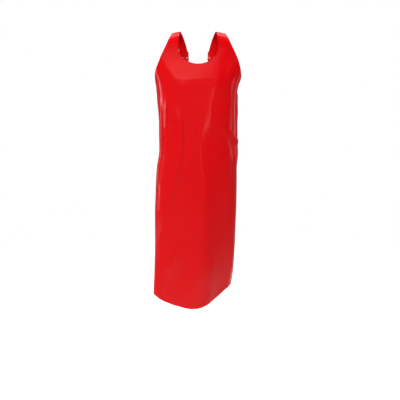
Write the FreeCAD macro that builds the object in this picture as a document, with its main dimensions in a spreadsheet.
import FreeCAD, Part
import Sketcher
import math
import os
from FreeCAD import Vector, Placement, Rotation

# Butcher apron in its worn shape: one cut sheet of film that wraps the front and sides of the
# wearer and runs over both shoulders, and a webbing harness that closes it at the back.
# Millimetres. +Z up, -Y is the wearer's front, +X the wearer's left. Z = 0 is the hem.
# The film's inner face is the draped surface. A place on it is given in the flat pattern, as
# "across" from the centre line and "along" from the hem, up the front and down the back.

os.makedirs("parts", exist_ok=True)
doc = FreeCAD.newDocument("butcher_apron")

SIZE = {
    # cut sheet
    "film_thickness": 0.5,
    "half_flat_width": 400.0,
    "hem_flat_half": 90.0,
    "hem_corner_rise": 300.0,
    "neck_drop": 1110.0,
    "neck_half_width": 86.0,
    "shoulder_outer": 119.0,
    "strap_end_length": 1486.0,
    "strap_end_outer": 82.0,
    "strap_end_inner": 42.0,
    # patches and label
    "patch_thickness": 0.8,
    "patch_width": 46.0,
    "patch_height": 100.0,
    "shoulder_patch_thickness": 0.8,
    "shoulder_patch_height": 40.0,
    "shoulder_patch_width": 36.0,
    "label_width": 38.0,
    "label_height": 60.0,
    "label_thickness": 0.3,
    # webbing and harness
    "web_width": 25.0,
    "web_thickness": 1.6,
    "belt_width": 30.0,
    "web_plane": 112.04,
    "harness_axis_height": 1112.0,
    "harness_axis_offset": 62.0,
    "harness_snap_height": 850.0,
    "belt_height": 806.0,
    "snap_offset": 125.0,
    # rings and the tabs that hold them
    "ring_section": 4.0,
    "dring_half_outer": 22.0,
    "dring_half_inner": 18.0,
    "tab_thickness": 1.5,
    "tab_width": 34.0,
    "loop_inner_radius": 2.7,
    "loop_outer_radius": 4.2,
    "belt_axis_offset": -103.0,
    "belt_ring_half_outer": 21.0,
    "belt_ring_half_inner": 17.0,
    "belt_ring_reach": 16.0,
    # snaps
    "snap_flange_radius": 6.0,
    "snap_neck_radius": 2.5,
    "snap_bulb_radius": 3.0,
    "snap_cavity_radius": 3.15,
    "snap_cap_radius": 7.5,
    "snap_shank_radius": 1.7,
    "snap_hole_radius": 1.8,
    # crossing plates and hanging eyelet
    "plate_radius": 24.0,
    "plate_thickness": 1.2,
    "eyelet_inner_radius": 5.0,
    "eyelet_outer_radius": 5.8,
    "eyelet_hole_radius": 6.0,
    "eyelet_flange_radius": 9.5,
    # sliding adjusters
    "slider_width": 34.0,
    "slider_length": 24.0,
    "slider_thickness": 5.4,
    "slider_slot_width": 26.4,
    "belt_slot_width": 31.4,
    "belt_slider_width": 39.0,
    "slider_slot_height": 2.6,
    "slider_window": 5.0,
    # rivets
    "rivet_shank_radius": 1.5,
    "rivet_hole_radius": 1.6,
    "rivet_head_radius": 4.0,
    "rivet_head_height": 1.0,
}
sheet = doc.addObject("Spreadsheet::Sheet", "Sizes")
for row, (alias, value) in enumerate(SIZE.items(), start=1):
    sheet.set(f"A{row}", alias)
    sheet.set(f"B{row}", repr(value))
    sheet.setAlias(f"B{row}", alias)
doc.recompute()

FILM_THICKNESS = SIZE["film_thickness"]
HALF_FLAT = SIZE["half_flat_width"]
STRAP_END = SIZE["strap_end_length"]
WEB_PLANE = SIZE["web_plane"]
WEB_THICKNESS = SIZE["web_thickness"]
TAB_THICKNESS = SIZE["tab_thickness"]
HALF_RING = SIZE["ring_section"] / 2
SHOULDER_X, SHOULDER_Z = SIZE["harness_axis_offset"], SIZE["harness_axis_height"]
SNAP_X = SIZE["snap_offset"]
HARNESS_SNAP_Z = SIZE["harness_snap_height"]
BELT_RING_X, BELT_Z = SIZE["belt_axis_offset"], SIZE["belt_height"]

WELD_GAP = 0.02  # between the film and what lies on it
CLEARANCE = 0.03  # between fasteners and the layers they hold
SIDES = (("left", 1), ("right", -1))

# fastener places, (x, z); the third snap is the belt's
SNAPS = [(SNAP_X, HARNESS_SNAP_Z), (-SNAP_X, HARNESS_SNAP_Z), (SNAP_X, BELT_Z)]
SHOULDER_RIVETS = [
    (side * SHOULDER_X + shift, SHOULDER_Z + 22.0) for side in (1, -1) for shift in (-10, 10)
]
TAB_RIVETS = [(BELT_RING_X - 22.0, BELT_Z - 9), (BELT_RING_X - 22.0, BELT_Z + 9)]

pieces = []


def add_piece(piece, label):
    piece.Label = label
    pieces.append(piece)
    return piece


# ---------------------------------------------------------------- draped surface of the film
# (arc length from the front centre line, heading of the cross-section in degrees)
HEADING = [(0, 0), (80, 8), (165, 45), (215, 84), (315, 96), (370, 180), (400, 180), (470, 180)]
SECTION_STEP = 2
SECTION_STEPS = 235
# (length along the pattern, half width of the worn outline)
HALF_WIDTH = [
    (0, 181), (120, 184), (320, 186), (600, 184), (740, 179), (850, 177.5), (950, 182),
    (1060, 188), (1250, 188), (1500, 188),
]
BASE_HALF_WIDTH = 177.6  # half width that leaves the cross-section unscaled
FRONT_PLANE, BACK_PLANE = -110.53, 112.0
# Side view of the centre strip, (y, z): up the front, over the shoulder and down the back
SIDE_VIEW = [
    (FRONT_PLANE, -60), (FRONT_PLANE, 0), (FRONT_PLANE, 200), (FRONT_PLANE, 420),
    (FRONT_PLANE, 640), (FRONT_PLANE, 820), (FRONT_PLANE, 900), (FRONT_PLANE, 960),
    (-111, 1045), (-101, 1112), (-77, 1176), (-38, 1228), (12, 1250), (60, 1237), (92, 1206),
    (108, 1170), (112, 1130), (112, 1090), (112, 1050),
]
CENTRING_SHIFT = -4.69  # sets the middle of the finished depth on Y = 0
# spans of pattern length over which the drape changes
FLATTENING = (985, 1290)  # the curved cross-section goes flat
WIDTH_RELEASE = (1060, 1250)  # the width scaling fades out
BACK_SETTLING = (1330, 1400)  # the straps come onto the back plane
SLOPE_RISE, SLOPE_FADE = (1130, 1270), (1370, 1430)  # the shoulder slope comes and goes
SHOULDER_SLOPE = 0.25  # drop per mm of x
SLOPE_START, SLOPE_BLEND = 85, 20  # x where the slope begins, and how softly


def interpolate(table, position):
    if position <= table[0][0]:
        return table[0][1]
    for (start, first), (end, second) in zip(table, table[1:]):
        if position <= end:
            weight = (position - start) / (end - start)
            return first + (second - first) * weight
    return table[-1][1]


def smooth(position, span):
    """Smooth step from 0 to 1 over the span."""
    weight = min(1.0, max(0.0, (position - span[0]) / (span[1] - span[0])))
    return weight * weight * (3 - 2 * weight)


def distance(first, second):
    return math.hypot(second[0] - first[0], second[1] - first[1])


def smooth_curve(points, divisions=24):
    """Dense points of a Catmull-Rom curve whose tangents allow for uneven spacing."""
    dense = []
    last = len(points) - 1
    for i in range(last):
        before, start, end = points[max(i - 1, 0)], points[i], points[i + 1]
        after = points[min(i + 2, last)]
        span = distance(start, end)
        span_before = distance(before, start) or span
        span_after = distance(end, after) or span
        tangent_in = [(end[c] - before[c]) / (span + span_before) * span for c in (0, 1)]
        tangent_out = [(after[c] - start[c]) / (span + span_after) * span for c in (0, 1)]
        for k in range(divisions):
            t = k / divisions
            w_start, w_in = 2 * t**3 - 3 * t**2 + 1, t**3 - 2 * t**2 + t
            w_end, w_out = -2 * t**3 + 3 * t**2, t**3 - t**2
            dense.append(tuple(
                w_start * start[c] + w_in * tangent_in[c] + w_end * end[c] + w_out * tangent_out[c]
                for c in (0, 1)
            ))
    dense.append(points[-1])
    return dense


def side_tables():
    """The side view as two tables, y and z, against length from the hem."""
    dense = smooth_curve(SIDE_VIEW)
    lengths = [0.0]
    for first, second in zip(dense, dense[1:]):
        lengths.append(lengths[-1] + distance(first, second))
    hem = next(length for length, point in zip(lengths, dense) if point[1] >= 0)
    return [[(length - hem, point[c]) for length, point in zip(lengths, dense)] for c in (0, 1)]


SIDE_Y, SIDE_Z = side_tables()
section_cache = {}


def section(along):
    """Half cross-section: lists of x and y at equal steps of arc length."""
    key = round(along, 3)
    if key not in section_cache:
        flat = smooth(along, FLATTENING)
        xs, ys = [0.0], [0.0]
        for k in range(SECTION_STEPS):
            middle = SECTION_STEP * k + SECTION_STEP / 2
            angle = math.radians(interpolate(HEADING, middle) * (1 - flat))
            xs.append(xs[-1] + SECTION_STEP * math.cos(angle))
            ys.append(ys[-1] + SECTION_STEP * math.sin(angle))
        scale = interpolate(HALF_WIDTH, along) / BASE_HALF_WIDTH
        scale += (1 - scale) * smooth(along, WIDTH_RELEASE)
        section_cache[key] = ([x * scale for x in xs], ys)
    return section_cache[key]


def film(across, along):
    """Point of the film's inner face at a place on the flat pattern."""
    xs, ys = section(along)
    position = abs(across) / SECTION_STEP
    k = min(int(position), len(xs) - 2)
    weight = position - k
    x = xs[k] + (xs[k + 1] - xs[k]) * weight
    y = ys[k] + (ys[k + 1] - ys[k]) * weight
    settled = smooth(along, BACK_SETTLING)
    centre_y = interpolate(SIDE_Y, along) * (1 - settled) + BACK_PLANE * settled
    past = x - SLOPE_START
    drop = SHOULDER_SLOPE * (math.sqrt(past ** 2 + SLOPE_BLEND ** 2) + past) / 2
    drop *= smooth(along, SLOPE_RISE) * (1 - smooth(along, SLOPE_FADE))
    z = interpolate(SIDE_Z, along) - drop
    return Vector(math.copysign(x, across), centre_y + y + CENTRING_SHIFT, z)


def film_normal(across, along):
    """Unit normal of the film, pointing away from the wearer."""
    reach = 3.0
    sideways = film(across + reach, along) - film(across - reach, along)
    lengthways = film(across, along + reach) - film(across, along - reach)
    normal = sideways.cross(lengthways)
    normal.normalize()
    return normal


def knots(start, *runs):
    """Knot list from start through runs of (end, step)."""
    values = [float(start)]
    for end, step in runs:
        begin = values[-1]
        count = round((end - begin) / step)
        values += [begin + (end - begin) * k / count for k in range(1, count + 1)]
    return values


def greville(knot_list):
    """Parameters at which the poles of a cubic over these knots sit."""
    full = [knot_list[0]] * 3 + knot_list + [knot_list[-1]] * 3
    return [(full[i + 1] + full[i + 2] + full[i + 3]) / 3 for i in range(len(knot_list) + 2)]


# The same knots serve the film and everything that lies on it, so offsets nest exactly.
KNOTS_ACROSS = knots(
    -HALF_FLAT, (-HALF_FLAT + 70, 5), (-HALF_FLAT + 110, 10),
    (HALF_FLAT - 110, 17), (HALF_FLAT - 70, 10), (HALF_FLAT, 5),
)
KNOTS_ALONG = knots(0, (720, 30), (995, 25), (1355, 20), (STRAP_END, 12))
pole_cache = {}
surface_cache = {}


def draped(offset):
    """Cubic surface over the whole flat pattern; its parameters are flat millimetres."""
    if offset not in surface_cache:
        poles = []
        for across in greville(KNOTS_ACROSS):
            line = []
            for along in greville(KNOTS_ALONG):
                place = (across, along)
                if place not in pole_cache:
                    pole_cache[place] = (film(*place), film_normal(*place))
                point, normal = pole_cache[place]
                line.append(point + normal * offset)
            poles.append(line)
        surface = Part.BSplineSurface()
        surface.buildFromPolesMultsKnots(
            poles,
            [4] + [1] * (len(KNOTS_ACROSS) - 2) + [4],
            [4] + [1] * (len(KNOTS_ALONG) - 2) + [4],
            KNOTS_ACROSS, KNOTS_ALONG, False, False, 3, 3,
        )
        surface_cache[offset] = surface
    return surface_cache[offset]


def outline_edges(surface, outline):
    """Edges on a surface: two points make a line, more make an interpolated curve."""
    edges = []
    for run in outline:
        points = [FreeCAD.Base.Vector2d(*point) for point in run]
        if len(points) == 2:
            edges.append(Part.Geom2d.Line2dSegment(points[0], points[1]).toShape(surface))
            continue
        curve = Part.Geom2d.BSplineCurve2d()
        curve.interpolate(points)
        low, high = curve.FirstParameter, curve.LastParameter
        # long curves in three edges, so that each rim face is a plain ribbon
        count = 1 if len(points) < 12 else 3
        for k in range(count):
            part = curve.copy()
            part.segment(low + (high - low) * k / count, low + (high - low) * (k + 1) / count)
            edges.append(part.toShape(surface))
    return edges


def sheet_solid(inner, outer, outline, region=None):
    """Solid between two offsets of the draped surface, cut to an outline on the flat pattern."""
    surfaces = [draped(inner), draped(outer)]
    if region is not None:
        surfaces = [surface.copy() for surface in surfaces]
        for surface in surfaces:
            surface.segment(*region)
    edge_sets = [outline_edges(surface, outline) for surface in surfaces]
    faces = []
    for surface, edges in zip(surfaces, edge_sets):
        face = Part.Face(surface, Part.Wire(edges))
        face.validate()
        faces.append(face)
    for first, second in zip(*edge_sets):
        # of the ways to pair the two edges, the rim is the one with the least area
        rims = [
            Part.makeRuledSurface(one, other)
            for one in (first, first.reversed())
            for other in (second, second.reversed())
        ]
        faces.append(min(rims, key=lambda rim: rim.Area))
    shell = Part.makeShell(faces)
    shell.sewShape()
    solid = Part.makeSolid(shell)
    if solid.Volume < 0:
        solid.reverse()
    return solid


# ---------------------------------------------------------------- cut sheet
SIDE_TOP = 892.0  # top of the straight rear edge
HEM_FLAT, HEM_RISE = SIZE["hem_flat_half"], SIZE["hem_corner_rise"]
END_OUTER = (SIZE["strap_end_outer"], STRAP_END)
END_INNER = (SIZE["strap_end_inner"], STRAP_END)
# (across, along) from the rear edge over the shoulder to the strap end
ARMHOLE = [
    (HALF_FLAT, SIDE_TOP), (366, 906), (325, 931), (284, 963), (247, 998), (216, 1036),
    (194, 1070), (181.5, 1101), (170, 1132), (158, 1165), (147, 1201), (136.5, 1239),
    (125.5, 1276), (SIZE["shoulder_outer"], 1302), (115, 1328), (108, 1366), (98, 1402),
    (89, 1438), (84, 1466), END_OUTER,
]
# (across, along) from the strap end back to the front centre line
NECK = [
    END_INNER, (45, 1462), (53, 1426), (63, 1388), (72, 1350), (78.5, 1312), (82, 1280),
    (84.5, 1246), (SIZE["neck_half_width"], 1212), (84.5, 1180), (77, 1154), (61, 1133),
    (39, 1119), (18, 1112), (0.0, SIZE["neck_drop"]),
]


def hem_corner():
    """Superellipse of power 1.5 from the flat of the hem to the rear edge."""
    angles = [math.radians(7.5 * k) for k in range(1, 12)]
    power = 4 / 3
    swept = [
        (HEM_FLAT + (HALF_FLAT - HEM_FLAT) * math.sin(angle) ** power,
         HEM_RISE * (1 - math.cos(angle) ** power))
        for angle in angles
    ]
    return [(HEM_FLAT, 0.0)] + swept + [(HALF_FLAT, HEM_RISE)]


def sheet_outline():
    """Whole outline, anticlockwise; the hem is one straight edge across the centre line."""
    rear_edge = [(HALF_FLAT, HEM_RISE), (HALF_FLAT, SIDE_TOP)]
    half = [hem_corner(), rear_edge, ARMHOLE, [END_OUTER, END_INNER], NECK]
    mirrored = [[(-across, along) for across, along in reversed(run)] for run in reversed(half)]
    return [[(-HEM_FLAT, 0.0), (HEM_FLAT, 0.0)]] + half + mirrored


def drill(x, z, radius):
    """Cylinder along +Y that passes through the back layers only."""
    return Part.makeCylinder(radius, 40, Vector(x, 95, z), Vector(0, 1, 0))


drills = [drill(x, z, SIZE["snap_hole_radius"]) for x, z in SNAPS]
drills += [drill(x, z, SIZE["rivet_hole_radius"]) for x, z in SHOULDER_RIVETS + TAB_RIVETS]


def add_film_piece(name, label, solid, holes):
    for hole in holes:
        solid = solid.cut(hole)
    feature = doc.addObject("Part::Feature", name)
    feature.Shape = solid
    add_piece(feature, label)


add_film_piece(
    "CutSheet", "apron_body", sheet_solid(0.0, FILM_THICKNESS, sheet_outline()), drills
)

# ---------------------------------------------------------------- patches that follow the film
PATCH_MARGIN = 4  # from the film's rear edge
PATCH_BOTTOM = 778.0
PATCH_CORNER = 9
LABEL_START, LABEL_BOTTOM = 300.0, 640.0
LABEL_CORNER = 3


def quarter(across, along, radius, start_angle):
    angles = [math.radians(start_angle + 22.5 * k) for k in range(5)]
    return [(across + radius * math.cos(a), along + radius * math.sin(a)) for a in angles]


def rounded(left, right, low, high, radius):
    """Rounded rectangle on the flat pattern."""
    return [
        [(left + radius, low), (right - radius, low)],
        quarter(right - radius, low + radius, radius, -90),
        [(right, low + radius), (right, high - radius)],
        quarter(right - radius, high - radius, radius, 0),
        [(right - radius, high), (left + radius, high)],
        quarter(left + radius, high - radius, radius, 90),
        [(left, high - radius), (left, low + radius)],
        quarter(left + radius, low + radius, radius, 180),
    ]


def film_patch(name, label, region, corner, inner, outer, holes=()):
    solid = sheet_solid(inner, outer, rounded(*region, corner), region)
    add_film_piece(name, label, solid, holes)


patch_far = HALF_FLAT - PATCH_MARGIN
patch_near = patch_far - SIZE["patch_width"]
patch_top = PATCH_BOTTOM + SIZE["patch_height"]
patch_inner = FILM_THICKNESS + WELD_GAP
patch_outer = patch_inner + SIZE["patch_thickness"]
for name, label, start, end in (
    ("WaistPatchLeft", "waist_patch_left", patch_near, patch_far),
    ("WaistPatchRight", "waist_patch_right", -patch_far, -patch_near),
):
    region = (start, end, PATCH_BOTTOM, patch_top)
    film_patch(name, label, region, PATCH_CORNER, patch_inner, patch_outer, drills)

# the label lies on the inner face, on the wearer's left
label_region = (
    LABEL_START, LABEL_START + SIZE["label_width"],
    LABEL_BOTTOM, LABEL_BOTTOM + SIZE["label_height"],
)
film_patch("CareLabel", "care_label", label_region, LABEL_CORNER,
           -WELD_GAP - SIZE["label_thickness"], -WELD_GAP)

# ---------------------------------------------------------------- PartDesign helpers
FACING_BACK = Rotation(Vector(1, 0, 0), -90)  # local x = X, local y = -Z, local z = +Y
THROUGH = "80"  # depth of a cut that passes through its piece
TOLERANCE = 1e-3


def new_body(name, label, placement):
    body = doc.addObject("PartDesign::Body", name)
    body.AllowCompound = True
    body.Placement = placement
    return add_piece(body, label)


def sketch(body, suffix, role="XY_Plane", lift=0.0):
    plane = next(f for f in body.Origin.OriginFeatures if f.Role == role)
    profile = body.newObject("Sketcher::SketchObject", body.Name + suffix)
    profile.AttachmentSupport = (plane, [""])
    profile.MapMode = "FlatFace"
    profile.AttachmentOffset = Placement(Vector(0, 0, lift), Rotation())
    return profile


def drive(profile, constraint, expression):
    """Adds a dimension and binds it to an expression."""
    index = profile.addConstraint(constraint)
    profile.setExpression(f"Constraints[{index}]", expression)


def circles(profile, centres, radius):
    """Circles of one radius, given as an expression."""
    for count, (x, y) in enumerate(centres):
        k = profile.addGeometry(Part.Circle(Vector(x, y, 0), Vector(0, 0, 1), 3.0), False)
        if count == 0:
            first = k
            drive(profile, Sketcher.Constraint("Radius", k, 3.0), radius)
        else:
            profile.addConstraint(Sketcher.Constraint("Equal", first, k))


def join_ends(profile, start, count):
    for k in range(count):
        following = start + (k + 1) % count
        profile.addConstraint(Sketcher.Constraint("Coincident", start + k, 2, following, 1))


def polygon(profile, points):
    start = profile.GeometryCount
    for (x1, y1), (x2, y2) in zip(points, points[1:] + points[:1]):
        profile.addGeometry(Part.LineSegment(Vector(x1, y1, 0), Vector(x2, y2, 0)), False)
    join_ends(profile, start, len(points))


def box_points(x1, x2, y1, y2):
    return [(x1, y1), (x2, y1), (x2, y2), (x1, y2)]


def rectangle(profile, x, y, width, height):
    """Rectangle centred on (x, y) with its width and height driven by expressions."""
    start = profile.GeometryCount
    half_x, half_y = 5.0, 4.0  # provisional; the expressions set the true size
    polygon(profile, box_points(x - half_x, x + half_x, y - half_y, y + half_y))
    for k, kind in enumerate(("Horizontal", "Vertical", "Horizontal", "Vertical")):
        profile.addConstraint(Sketcher.Constraint(kind, start + k))
    constraint = Sketcher.Constraint
    drive(profile, constraint("DistanceX", start, 1, start, 2, 2 * half_x), width)
    drive(profile, constraint("DistanceY", start + 1, 1, start + 1, 2, 2 * half_y), height)
    # the first corner's distances from the origin keep the centre in place
    drive(profile, constraint("DistanceX", -1, 1, start, 1, x - half_x), f"{x!r} - ({width}) / 2")
    drive(profile, constraint("DistanceY", -1, 1, start, 1, y - half_y), f"{y!r} - ({height}) / 2")


def pad(body, profile, length, symmetric=True):
    feature = body.newObject("PartDesign::Pad", profile.Name + "Pad")
    feature.Profile = profile
    feature.setExpression("Length", length)
    feature.Midplane = symmetric
    doc.recompute()


def pocket(body, profile, length=THROUGH, symmetric=True):
    """Cut to both sides of the sketch, or only towards its local +z."""
    before = body.Shape.Volume
    feature = body.newObject("PartDesign::Pocket", profile.Name + "Cut")
    feature.Profile = profile
    feature.setExpression("Length", length)
    feature.Midplane = symmetric
    feature.Reversed = not symmetric
    doc.recompute()
    if not body.Shape.Volume < before - 1e-6:
        raise RuntimeError(f"{feature.Name} cuts nothing in {body.Label}")


def round_edges(body, radius, chosen):
    """Fillet of the tip's edges that pass the test, which sees the body's own coordinates."""
    tip = body.Tip
    names = [f"Edge{k}" for k, edge in enumerate(tip.Shape.Edges, start=1) if chosen(edge)]
    feature = body.newObject("PartDesign::Fillet", "Round")
    feature.Base = (tip, names)
    feature.Radius = radius
    doc.recompute()
    if not names or feature.Shape.isNull() or not feature.Shape.isValid():
        raise RuntimeError(f"rounding of {body.Label} fails on {names}")


def is_circle(radius):
    return lambda edge: (edge.Curve.TypeId == "Part::GeomCircle"
                         and abs(edge.Curve.Radius - radius) < TOLERANCE)


def at_depth(depth):
    """Test for edges whose middle lies this far to either side of local z = 0."""
    return lambda edge: abs(abs(edge.CenterOfMass.z) - depth) < TOLERANCE


def back_view(points):
    """World (x, z) to sketch (x, y) on a body that faces the back."""
    return [(x, -z) for x, z in points]


def turned(name, label, places, layers):
    """Round layers stacked along +Y: (kind, radius expression, start y, length)."""
    body = new_body(name, label, Placement(Vector(0, 0, 0), FACING_BACK))
    for k, (kind, radius, start, length) in enumerate(layers):
        profile = sketch(body, f"Sketch{k}", lift=start)
        circles(profile, back_view(places), radius)
        build = pad if kind == "pad" else pocket
        expression = length if isinstance(length, str) else repr(length)
        build(body, profile, expression, symmetric=False)
    return body


# ---------------------------------------------------------------- levels along +Y at the back
FILM_INNER = film(384, 850).y
PATCH_FACE = FILM_INNER + FILM_THICKNESS + WELD_GAP + SIZE["patch_thickness"]
STRAP_INNER = film(SHOULDER_X, 1470).y
STRAP_OUTER = STRAP_INNER + FILM_THICKNESS
STRAP_BOTTOM = film(SHOULDER_X, STRAP_END).z
WEB_INNER = WEB_PLANE - WEB_THICKNESS / 2
WEB_OUTER = WEB_PLANE + WEB_THICKNESS / 2

# ---------------------------------------------------------------- snaps
STUD_FLANGE = 0.7
STUD_NECK = 1.6
BULB_START, BULB_LENGTH = 1.9, 1.0  # the blind bore ends where the bulb starts
POST_FLANGE = 0.8
POST_REACH = 1.7  # into the stud
SOCKET_RISE = 0.9  # from the foot of the stud
SOCKET_ROOF = 0.6
CAP_DISC, CAP_CROWN = 1.3, 0.6
CAP_STEP = 1.2  # the crown is this much smaller in radius
CAP_SHANK_REACH = 0.5  # past the inner face of the webbing
CROWN_ROUNDING = 0.25

FLANGE = "Sizes.snap_flange_radius"
SHANK = "Sizes.snap_shank_radius"
SNAP_HOLE = "Sizes.snap_hole_radius"
STUD_FOOT = PATCH_FACE + CLEARANCE


def snap_studs():
    """Stud halves on the waist patches: flange, neck and bulb with a blind bore."""
    turned("Studs", "snap_studs", SNAPS, [
        ("pad", FLANGE, STUD_FOOT, STUD_FLANGE),
        ("pad", "Sizes.snap_neck_radius", STUD_FOOT + STUD_FLANGE, STUD_NECK),
        ("pad", "Sizes.snap_bulb_radius", STUD_FOOT + BULB_START, BULB_LENGTH),
        ("cut", SNAP_HOLE, STUD_FOOT, BULB_START),
    ])


def snap_posts():
    """Flanges inside the film, with shanks that run into the studs."""
    turned("Posts", "snap_posts", SNAPS, [
        ("pad", FLANGE, FILM_INNER - CLEARANCE - POST_FLANGE, POST_FLANGE),
        ("pad", SHANK, FILM_INNER - CLEARANCE, STUD_FOOT + POST_REACH - FILM_INNER),
    ])


def snap_sockets(name, label, places):
    """Hollow halves under the webbing that close over the studs."""
    foot = STUD_FOOT + SOCKET_RISE
    height = WEB_INNER - CLEARANCE - foot
    turned(name, label, places, [
        ("pad", FLANGE, foot, height),
        ("cut", "Sizes.snap_cavity_radius", foot, height - SOCKET_ROOF),
        ("cut", SNAP_HOLE, foot, WEB_INNER - foot),
    ])


def snap_caps(name, label, places):
    """Stepped caps outside the webbing, with shanks through it."""
    foot = WEB_OUTER + CLEARANCE
    caps = turned(name, label, places, [
        ("pad", "Sizes.snap_cap_radius", foot, CAP_DISC),
        ("pad", f"Sizes.snap_cap_radius - {CAP_STEP}", foot + CAP_DISC, CAP_CROWN),
        ("pad", SHANK, WEB_INNER - CAP_SHANK_REACH, WEB_THICKNESS + CAP_SHANK_REACH + CLEARANCE),
    ])
    round_edges(caps, CROWN_ROUNDING, is_circle(SIZE["snap_cap_radius"] - CAP_STEP))


snap_studs()
snap_posts()
snap_sockets("HarnessSockets", "harness_snap_sockets", SNAPS[:2])
snap_caps("HarnessCaps", "harness_snap_caps", SNAPS[:2])
snap_sockets("BeltSockets", "belt_snap_socket", SNAPS[2:])
snap_caps("BeltCaps", "belt_snap_cap", SNAPS[2:])

# ---------------------------------------------------------------- shoulder patches
SHOULDER_PATCH_RISE = 2  # from the strap's end edge to the patch
SHOULDER_PATCH_CORNER = 5.0
SHOULDER_PATCH_FACE = STRAP_INNER - WELD_GAP - SIZE["shoulder_patch_thickness"]
RIVET_HOLE = "Sizes.rivet_hole_radius"


def on_side(points, side):
    return [point for point in points if point[0] * side > 0]


def shoulder_patch(word, side):
    """Flat rounded plate inside the strap end."""
    body = new_body("ShoulderPatch" + word.capitalize(), "shoulder_patch_" + word,
                    Placement(Vector(0, 0, 0), FACING_BACK))
    plate = sketch(body, "Plate", lift=SHOULDER_PATCH_FACE)
    centre_z = STRAP_BOTTOM + SHOULDER_PATCH_RISE + SIZE["shoulder_patch_height"] / 2
    rectangle(plate, side * SHOULDER_X, -centre_z,
              "Sizes.shoulder_patch_width", "Sizes.shoulder_patch_height")
    pad(body, plate, "Sizes.shoulder_patch_thickness", symmetric=False)
    thickness = SIZE["shoulder_patch_thickness"]
    round_edges(body, SHOULDER_PATCH_CORNER,
                lambda edge: abs(edge.Length - thickness) < TOLERANCE)
    holes = sketch(body, "Holes", lift=STRAP_INNER - 5)
    circles(holes, back_view(on_side(SHOULDER_RIVETS, side)), RIVET_HOLE)
    pocket(body, holes, symmetric=False)


for word, side in SIDES:
    shoulder_patch(word, side)

# ---------------------------------------------------------------- folded tabs and rivets
LEG_START = 7.0  # the leg has its full flat thickness from here on
SHOULDER_LEG, BELT_LEG = 36.0, 31.0  # from the bar's axis to the end of the leg
# local x along the leg, local y = +Y, local z along the bar
LEG_UP = Rotation(Vector(0, 0, 1), Vector(0, 1, 0), Vector(-1, 0, 0), "ZXY")
LEG_RIGHT = Rotation(Vector(-1, 0, 0), Vector(0, 1, 0), Vector(0, 0, -1), "ZXY")
HEAD_OVERLAP = 0.1  # the shank runs this far into each head
HEAD_ROUNDING = 0.45


def loop_tab(name, label, axis_x, axis_z, turn, leg_end, face_y, holes):
    """Loop round a ring's bar with a flat leg on the face at face_y; holes are (x, z) local."""
    body = new_body(name, label, Placement(Vector(axis_x, WEB_PLANE, axis_z), turn))
    loop = sketch(body, "Loop")
    circles(loop, [(0, 0)], "Sizes.loop_outer_radius")
    pad(body, loop, "Sizes.tab_width")
    low = face_y - WEB_PLANE
    bore_edge = -SIZE["loop_inner_radius"]
    leg = sketch(body, "Leg")
    polygon(leg, [
        (-1.2, low), (leg_end, low), (leg_end, low + TAB_THICKNESS),
        (LEG_START, low + TAB_THICKNESS), (1.0, bore_edge - 0.4), (-1.2, bore_edge - 0.6),
    ])
    pad(body, leg, "Sizes.tab_width")
    bore = sketch(body, "Bore")
    circles(bore, [(0, 0)], "Sizes.loop_inner_radius")
    pocket(body, bore)
    rivet_holes = sketch(body, "Holes", "XZ_Plane")
    circles(rivet_holes, holes, RIVET_HOLE)
    pocket(body, rivet_holes)


def rivets(name, label, places, inner_y, outer_y):
    """A head on each side and a shank between."""
    head, height = "Sizes.rivet_head_radius", "Sizes.rivet_head_height"
    body = turned(name, label, places, [
        ("pad", head, inner_y - CLEARANCE - SIZE["rivet_head_height"], height),
        ("pad", "Sizes.rivet_shank_radius", inner_y - CLEARANCE - HEAD_OVERLAP,
         outer_y - inner_y + 2 * CLEARANCE + 2 * HEAD_OVERLAP),
        ("pad", head, outer_y + CLEARANCE, height),
    ])
    round_edges(body, HEAD_ROUNDING, is_circle(SIZE["rivet_head_radius"]))


for word, side in SIDES:
    axis_x = side * SHOULDER_X
    holes = [(z - SHOULDER_Z, axis_x - x) for x, z in on_side(SHOULDER_RIVETS, side)]
    loop_tab("ShoulderTab" + word.capitalize(), "shoulder_tab_" + word, axis_x, SHOULDER_Z,
             LEG_UP, SHOULDER_LEG, STRAP_OUTER + WELD_GAP, holes)
holes = [(BELT_RING_X - x, BELT_Z - z) for x, z in TAB_RIVETS]
loop_tab("BeltTab", "belt_ring_tab", BELT_RING_X, BELT_Z,
         LEG_RIGHT, BELT_LEG, PATCH_FACE + WELD_GAP, holes)

rivets("ShoulderRivets", "shoulder_rivets", SHOULDER_RIVETS,
       SHOULDER_PATCH_FACE, STRAP_OUTER + WELD_GAP + TAB_THICKNESS)
rivets("TabRivets", "belt_tab_rivets", TAB_RIVETS,
       FILM_INNER, PATCH_FACE + WELD_GAP + TAB_THICKNESS)

# ---------------------------------------------------------------- D-rings
CURVE_DROP = 4.0  # from the bar's axis down to the centre of the D's curve
RING_ROUNDING = 0.9


def d_profile(profile, half, bar_edge, radius):
    """D outline: straight along the bar, then down round a half circle."""
    curve = Part.Circle(Vector(0, CURVE_DROP, 0), Vector(0, 0, 1), half)
    right_end, left_end = Vector(half, bar_edge, 0), Vector(-half, bar_edge, 0)
    for geometry in (
        Part.LineSegment(left_end, right_end),
        Part.LineSegment(right_end, Vector(half, CURVE_DROP, 0)),
        Part.ArcOfCircle(curve, 0, math.pi),
        Part.LineSegment(Vector(-half, CURVE_DROP, 0), left_end),
    ):
        profile.addGeometry(geometry, False)
    join_ends(profile, 0, 4)
    drive(profile, Sketcher.Constraint("Radius", 2, half), radius)


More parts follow.
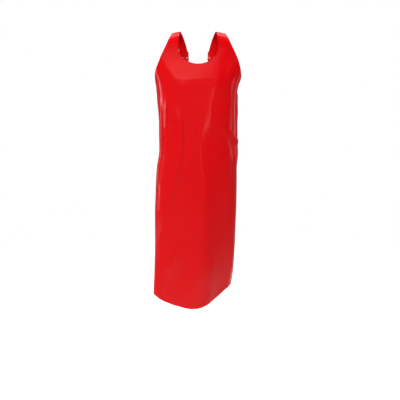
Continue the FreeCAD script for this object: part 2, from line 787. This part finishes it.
def d_ring(word, side):
    body = new_body("DRing" + word.capitalize(), "d_ring_" + word,
                    Placement(Vector(side * SHOULDER_X, WEB_PLANE, SHOULDER_Z), FACING_BACK))
    outer = sketch(body, "Outer")
    d_profile(outer, SIZE["dring_half_outer"], -HALF_RING, "Sizes.dring_half_outer")
    pad(body, outer, "Sizes.ring_section")
    inner = sketch(body, "Inner")
    d_profile(inner, SIZE["dring_half_inner"], HALF_RING, "Sizes.dring_half_inner")
    pocket(body, inner)
    round_edges(body, RING_ROUNDING, at_depth(HALF_RING))


for word, side in SIDES:
    d_ring(word, side)

# ---------------------------------------------------------------- webbing harness
# Each strap runs from the centre of its D-ring's curve down to the snap on the other side.
STRAP_TOP_Z = SHOULDER_Z - CURVE_DROP
STRAP_LENGTH = math.hypot(SHOULDER_X + SNAP_X, STRAP_TOP_Z - HARNESS_SNAP_Z)
STRAP_ANGLE = math.atan2(SHOULDER_X + SNAP_X, STRAP_TOP_Z - HARNESS_SNAP_Z)
CROSSING = SHOULDER_X / math.sin(STRAP_ANGLE)  # distance along the strap
CROSSING_Z = STRAP_TOP_Z - CROSSING * math.cos(STRAP_ANGLE)
CROSSING_LIFT = WEB_THICKNESS + 0.12  # the right strap rides over the left one
LIFT_START, LIFT_FULL = 52, 30  # distances from the crossing
BAND_START = 20
STRAP_TAIL = 14  # past the snap
STRAP_LOOP = (11.6, 24.5, 40.0)
STRAP_EYE = (12.2, 22.7)
EYE_HALF = 2.35
SLIDER_PLACE = 238.0  # distance along the strap
SLIDER_CORNER = 3.0
WINDOW_OFFSET = 6.0
SLOT_REACH = "900"  # reaches from the strap's origin past the slider


def webbing(body, role, width, inner_edge, loop, eye):
    """Band with a folded loop at its start. Profiles hold (along the band, outwards);
    loop is (near end, end of full height, end of taper), eye is (start, end)."""
    half = WEB_THICKNESS / 2
    band = sketch(body, "Band", role)
    polygon(band, inner_edge + [(x, y + WEB_THICKNESS) for x, y in reversed(inner_edge)])
    pad(body, band, width)
    near, full, taper = loop
    fold = sketch(body, "Loop", role)
    polygon(fold, [
        (near, -3.9), (full, -3.9), (taper, -half - 1.5), (taper, half),
        (full, 3.9), (near, 3.9), (near - 1.2, 2.4), (near - 1.2, -2.4),
    ])
    pad(body, fold, width)
    opening = sketch(body, "Eye", role)
    polygon(opening, box_points(eye[0], eye[1], -EYE_HALF, EYE_HALF))
    pocket(body, opening)


def strap_placement(side):
    """Local x across the strap, y down along it, z outwards."""
    down = Vector(-side * math.sin(STRAP_ANGLE), 0, -math.cos(STRAP_ANGLE))
    out = Vector(0, 1, 0)
    turn = Rotation(down.cross(out), down, out, "ZXY")
    return Placement(Vector(side * SHOULDER_X, WEB_PLANE, STRAP_TOP_Z), turn)


def cross_strap(word, side, lift):
    body = new_body("Strap" + word.capitalize(), "cross_strap_" + word, strap_placement(side))
    low = -WEB_THICKNESS / 2
    inner_edge = [(BAND_START, low), (STRAP_LENGTH + STRAP_TAIL, low)]
    if lift:
        inner_edge[1:1] = [
            (CROSSING - LIFT_START, low), (CROSSING - LIFT_FULL, lift + low),
            (CROSSING + LIFT_FULL, lift + low), (CROSSING + LIFT_START, low),
        ]
    webbing(body, "YZ_Plane", "Sizes.web_width", inner_edge, STRAP_LOOP, STRAP_EYE)
    for suffix, place, radius in (
        ("EyeletHole", CROSSING, "Sizes.eyelet_hole_radius"),
        ("SnapHole", STRAP_LENGTH, SNAP_HOLE),
    ):
        hole = sketch(body, suffix)
        circles(hole, [(0, place)], radius)
        pocket(body, hole)


def slider(name, label, placement, width, slot_width, centre):
    """Block round a band, with a slot along the band and two windows in the outer face."""
    body = new_body(name, label, placement)
    block = sketch(body, "Block")
    rectangle(block, 0.0, centre, width, "Sizes.slider_length")
    pad(body, block, "Sizes.slider_thickness")
    round_edges(body, SLIDER_CORNER, at_depth(0))
    slot = sketch(body, "Slot", "XZ_Plane")
    rectangle(slot, 0.0, 0.0, slot_width, "Sizes.slider_slot_height")
    pocket(body, slot, SLOT_REACH)
    windows = sketch(body, "Windows")
    for offset in (-WINDOW_OFFSET, WINDOW_OFFSET):
        rectangle(windows, 0.0, centre + offset, slot_width + " - 2", "Sizes.slider_window")
    pocket(body, windows, symmetric=False)


cross_strap("left", 1, 0.0)
cross_strap("right", -1, CROSSING_LIFT)
for word, side in SIDES:
    slider("Slider" + word.capitalize(), "strap_slider_" + word, strap_placement(side),
           "Sizes.slider_width", "Sizes.slider_slot_width", SLIDER_PLACE)

# ---------------------------------------------------------------- crossing plates and eyelet
PLATE_GAP = 0.06
PLATE_ROUNDING = 0.45
EYELET_FLANGE, WASHER_THICKNESS = 0.8, 0.7
CROSSING_PLACE = [(0, CROSSING_Z)]
INNER_PLATE_START = WEB_INNER - PLATE_GAP - SIZE["plate_thickness"]
OUTER_PLATE_START = WEB_OUTER + CROSSING_LIFT + PLATE_GAP


def cross_plate(name, label, start):
    plate = turned(name, label, CROSSING_PLACE, [
        ("pad", "Sizes.plate_radius", start, "Sizes.plate_thickness"),
        ("cut", "Sizes.eyelet_hole_radius", start, "Sizes.plate_thickness"),
    ])
    round_edges(plate, PLATE_ROUNDING, is_circle(SIZE["plate_radius"]))


def hanging_eyelet():
    """Flanged tube through plates and straps, and the washer round its inner end."""
    flange, tube = "Sizes.eyelet_flange_radius", "Sizes.eyelet_outer_radius"
    start = INNER_PLATE_START - CLEARANCE - WASHER_THICKNESS
    flange_start = OUTER_PLATE_START + SIZE["plate_thickness"] + CLEARANCE
    length = flange_start - start
    turned("HangEyelet", "hang_eyelet", CROSSING_PLACE, [
        ("pad", flange, flange_start, EYELET_FLANGE),
        ("pad", tube, start, length + 0.05),
        ("cut", "Sizes.eyelet_inner_radius", start, length + EYELET_FLANGE),
    ])
    turned("EyeletWasher", "hang_eyelet_washer", CROSSING_PLACE, [
        ("pad", flange, start, WASHER_THICKNESS),
        ("cut", f"{tube} + {CLEARANCE}", start, WASHER_THICKNESS),
    ])


cross_plate("PlateInner", "cross_plate_inner", INNER_PLATE_START)
cross_plate("PlateOuter", "cross_plate_outer", OUTER_PLATE_START)
hanging_eyelet()

# ---------------------------------------------------------------- waist belt
RING_REACH = SIZE["belt_ring_reach"]
RING_CORNER = 3.0
FAR_BAR = RING_REACH - HALF_RING  # axis of the bar the belt loops round
BELT_TAIL = 20  # past the snap
BELT_SLIDER_X = 40.0


def belt_ring():
    """Rectangular ring, from the tab's bar to the belt's bar on its +X side."""
    body = new_body("BeltRing", "belt_ring",
                    Placement(Vector(BELT_RING_X, WEB_PLANE, BELT_Z), FACING_BACK))
    outer = sketch(body, "Outer")
    rectangle(outer, (RING_REACH - HALF_RING) / 2, 0.0,
              "Sizes.belt_ring_reach + Sizes.ring_section / 2", "2 * Sizes.belt_ring_half_outer")
    pad(body, outer, "Sizes.ring_section")
    # only the two corners away from the tab
    round_edges(body, RING_CORNER,
                lambda edge: at_depth(0)(edge) and edge.CenterOfMass.x > 5)
    inner = sketch(body, "Inner")
    rectangle(inner, (RING_REACH - 2 * HALF_RING + HALF_RING) / 2, 0.0,
              "Sizes.belt_ring_reach - Sizes.ring_section - Sizes.ring_section / 2",
              "2 * Sizes.belt_ring_half_inner")
    pocket(body, inner)
    round_edges(body, RING_ROUNDING, at_depth(HALF_RING))


def waist_belt():
    """Band along +X from the ring; local y is outwards and local z up."""
    body = new_body("WaistBelt", "waist_belt",
                    Placement(Vector(BELT_RING_X, WEB_PLANE, BELT_Z), Rotation()))
    low = -WEB_THICKNESS / 2
    snap = SNAP_X - BELT_RING_X
    webbing(body, "XY_Plane", "Sizes.belt_width",
            [(FAR_BAR + 2, low), (snap + BELT_TAIL, low)],
            (FAR_BAR - 2.9, FAR_BAR + 2.9, FAR_BAR + 18.0),
            (FAR_BAR - 2.3, FAR_BAR + 2.3))
    hole = sketch(body, "SnapHole", "XZ_Plane")
    circles(hole, [(snap, 0)], SNAP_HOLE)
    pocket(body, hole)


belt_ring()
waist_belt()
# local y along the belt, local z outwards
belt_turn = Rotation(Vector(0, 0, 1), Vector(1, 0, 0), Vector(0, 1, 0), "ZXY")
slider("BeltSlider", "belt_slider",
       Placement(Vector(BELT_SLIDER_X, WEB_PLANE, BELT_Z), belt_turn),
       "Sizes.belt_slider_width", "Sizes.belt_slot_width", 0.0)

# ---------------------------------------------------------------- state check and export
doc.recompute()
faults = [
    f"{item.Name} {item.State}"
    for item in doc.Objects
    if "Invalid" in item.State or "Error" in item.State
]
for piece in pieces:
    if piece.Shape.isNull() or not piece.Shape.isValid() or piece.Shape.Volume <= 0:
        faults.append(f"{piece.Label}: shape null, not valid or inside out")
if faults:
    raise SystemExit("model failed: " + "; ".join(faults))
for piece in pieces:
    piece.Shape.exportStep(f"parts/{piece.Label}.step")
